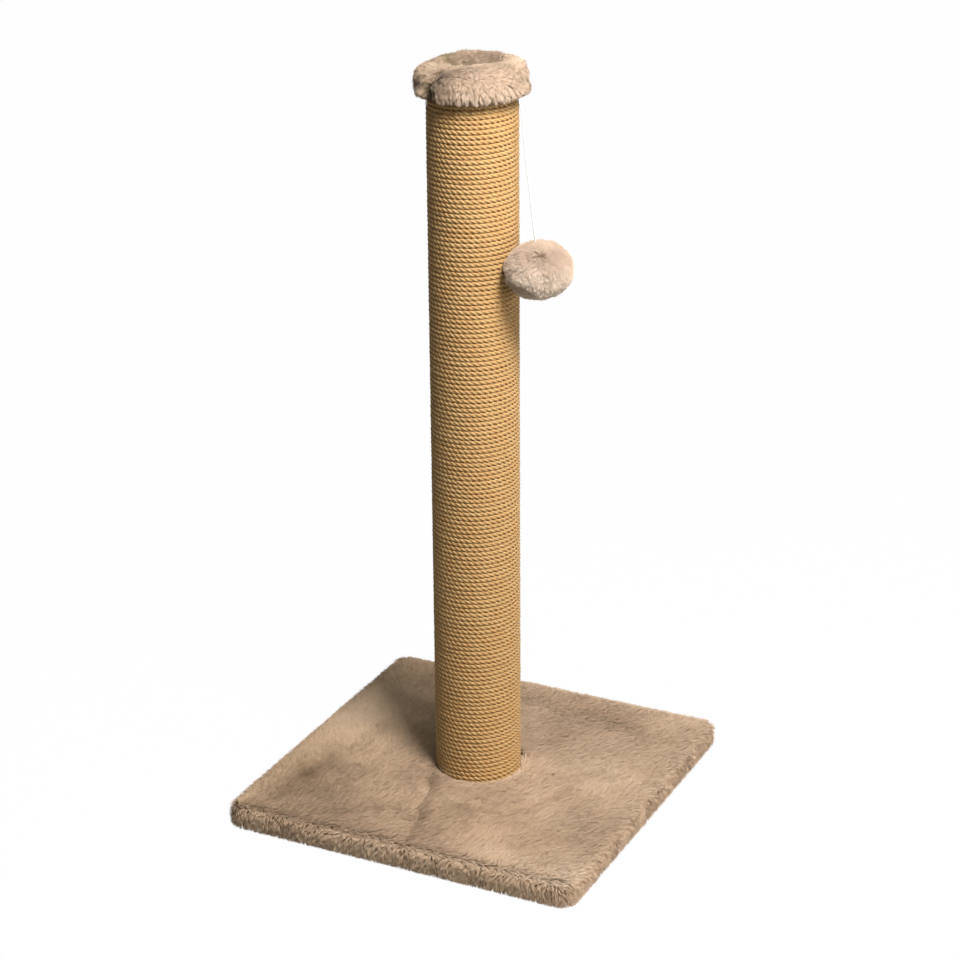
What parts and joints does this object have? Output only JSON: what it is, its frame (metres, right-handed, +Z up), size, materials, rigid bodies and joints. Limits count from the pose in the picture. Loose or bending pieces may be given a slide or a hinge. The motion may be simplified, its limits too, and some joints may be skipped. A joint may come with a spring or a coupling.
{
  "type": "cat scratching post",
  "caption": "Cat scratching post: a rope-wound tube on a square plush-covered base, with a plush cap and a plush ball that hangs on a string beside the post.",
  "frame": {"origin": "middle of the base's underside, on the floor, on the post's axis", "axes": "+Z up along the post; X and Y along the base's sides; the toy hangs towards +X"},
  "size_m": [0.4, 0.4, 0.793],
  "materials": {
    "base_board": "raw fibreboard",
    "base_plush": "short faux-fur plush, taupe",
    "underside_sheet": "thin non-woven sheet",
    "staples": "zinc-plated wire",
    "bolt": "zinc-plated",
    "wood_disc": "raw fibreboard",
    "tube": "spiral-wound board",
    "rope": "three-strand twisted jute",
    "cap_plush": "long faux-fur plush, taupe",
    "string": "white twisted string",
    "pompom_plush": "long faux-fur plush, pinkish taupe",
    "filling": "polyester fibre fill"
  },
  "bodies": {
    "post": {"base_board": "base_board", "base_plush": "base_plush", "underside_sheet": "underside_sheet", "base_staples": "staples", "sheet_staples": "staples", "base_bolt": "bolt", "base_washer": "bolt", "t_nut": "bolt", "bottom_plug": "wood_disc", "post_tube": "tube", "top_plug": "wood_disc", "plug_nails": "bolt", "scratch_rope": "rope", "rope_staples": "staples", "cap_board": "wood_disc", "cap_board_screws": "bolt", "cap_centre_screw": "bolt", "cap_centre_washer": "bolt", "cap_plush": "cap_plush", "cap_staples": "staples", "string_end": "string", "string_staple": "staples"},
    "knot": {"tie_knot": "string"},
    "string": {"toy_string": "string"},
    "pompom": {"pompom_skin": "pompom_plush", "pompom_filling": "filling", "end_knot": "string", "gather_thread": "string"}
  },
  "joints": [
    {"name": "toy_swing_sideways", "type": "hinge", "parent": "post", "child": "knot", "pos_m": [0.0523, -0.00458, 0.762], "axis": [0.9962, -0.0872, 0], "range_deg": [-60, 60]},
    {"name": "toy_swing_outwards", "type": "hinge", "parent": "knot", "child": "string", "pos_m": [0.0523, -0.00458, 0.762], "axis": [-0.0872, -0.9962, 0], "range_deg": [0, 80]},
    {"name": "pompom_spin", "type": "hinge", "parent": "string", "child": "pompom", "pos_m": [0.07447, -0.00651, 0.59326], "axis": [-0.1302, 0.0114, 0.9914], "continuous": true}
  ]
}
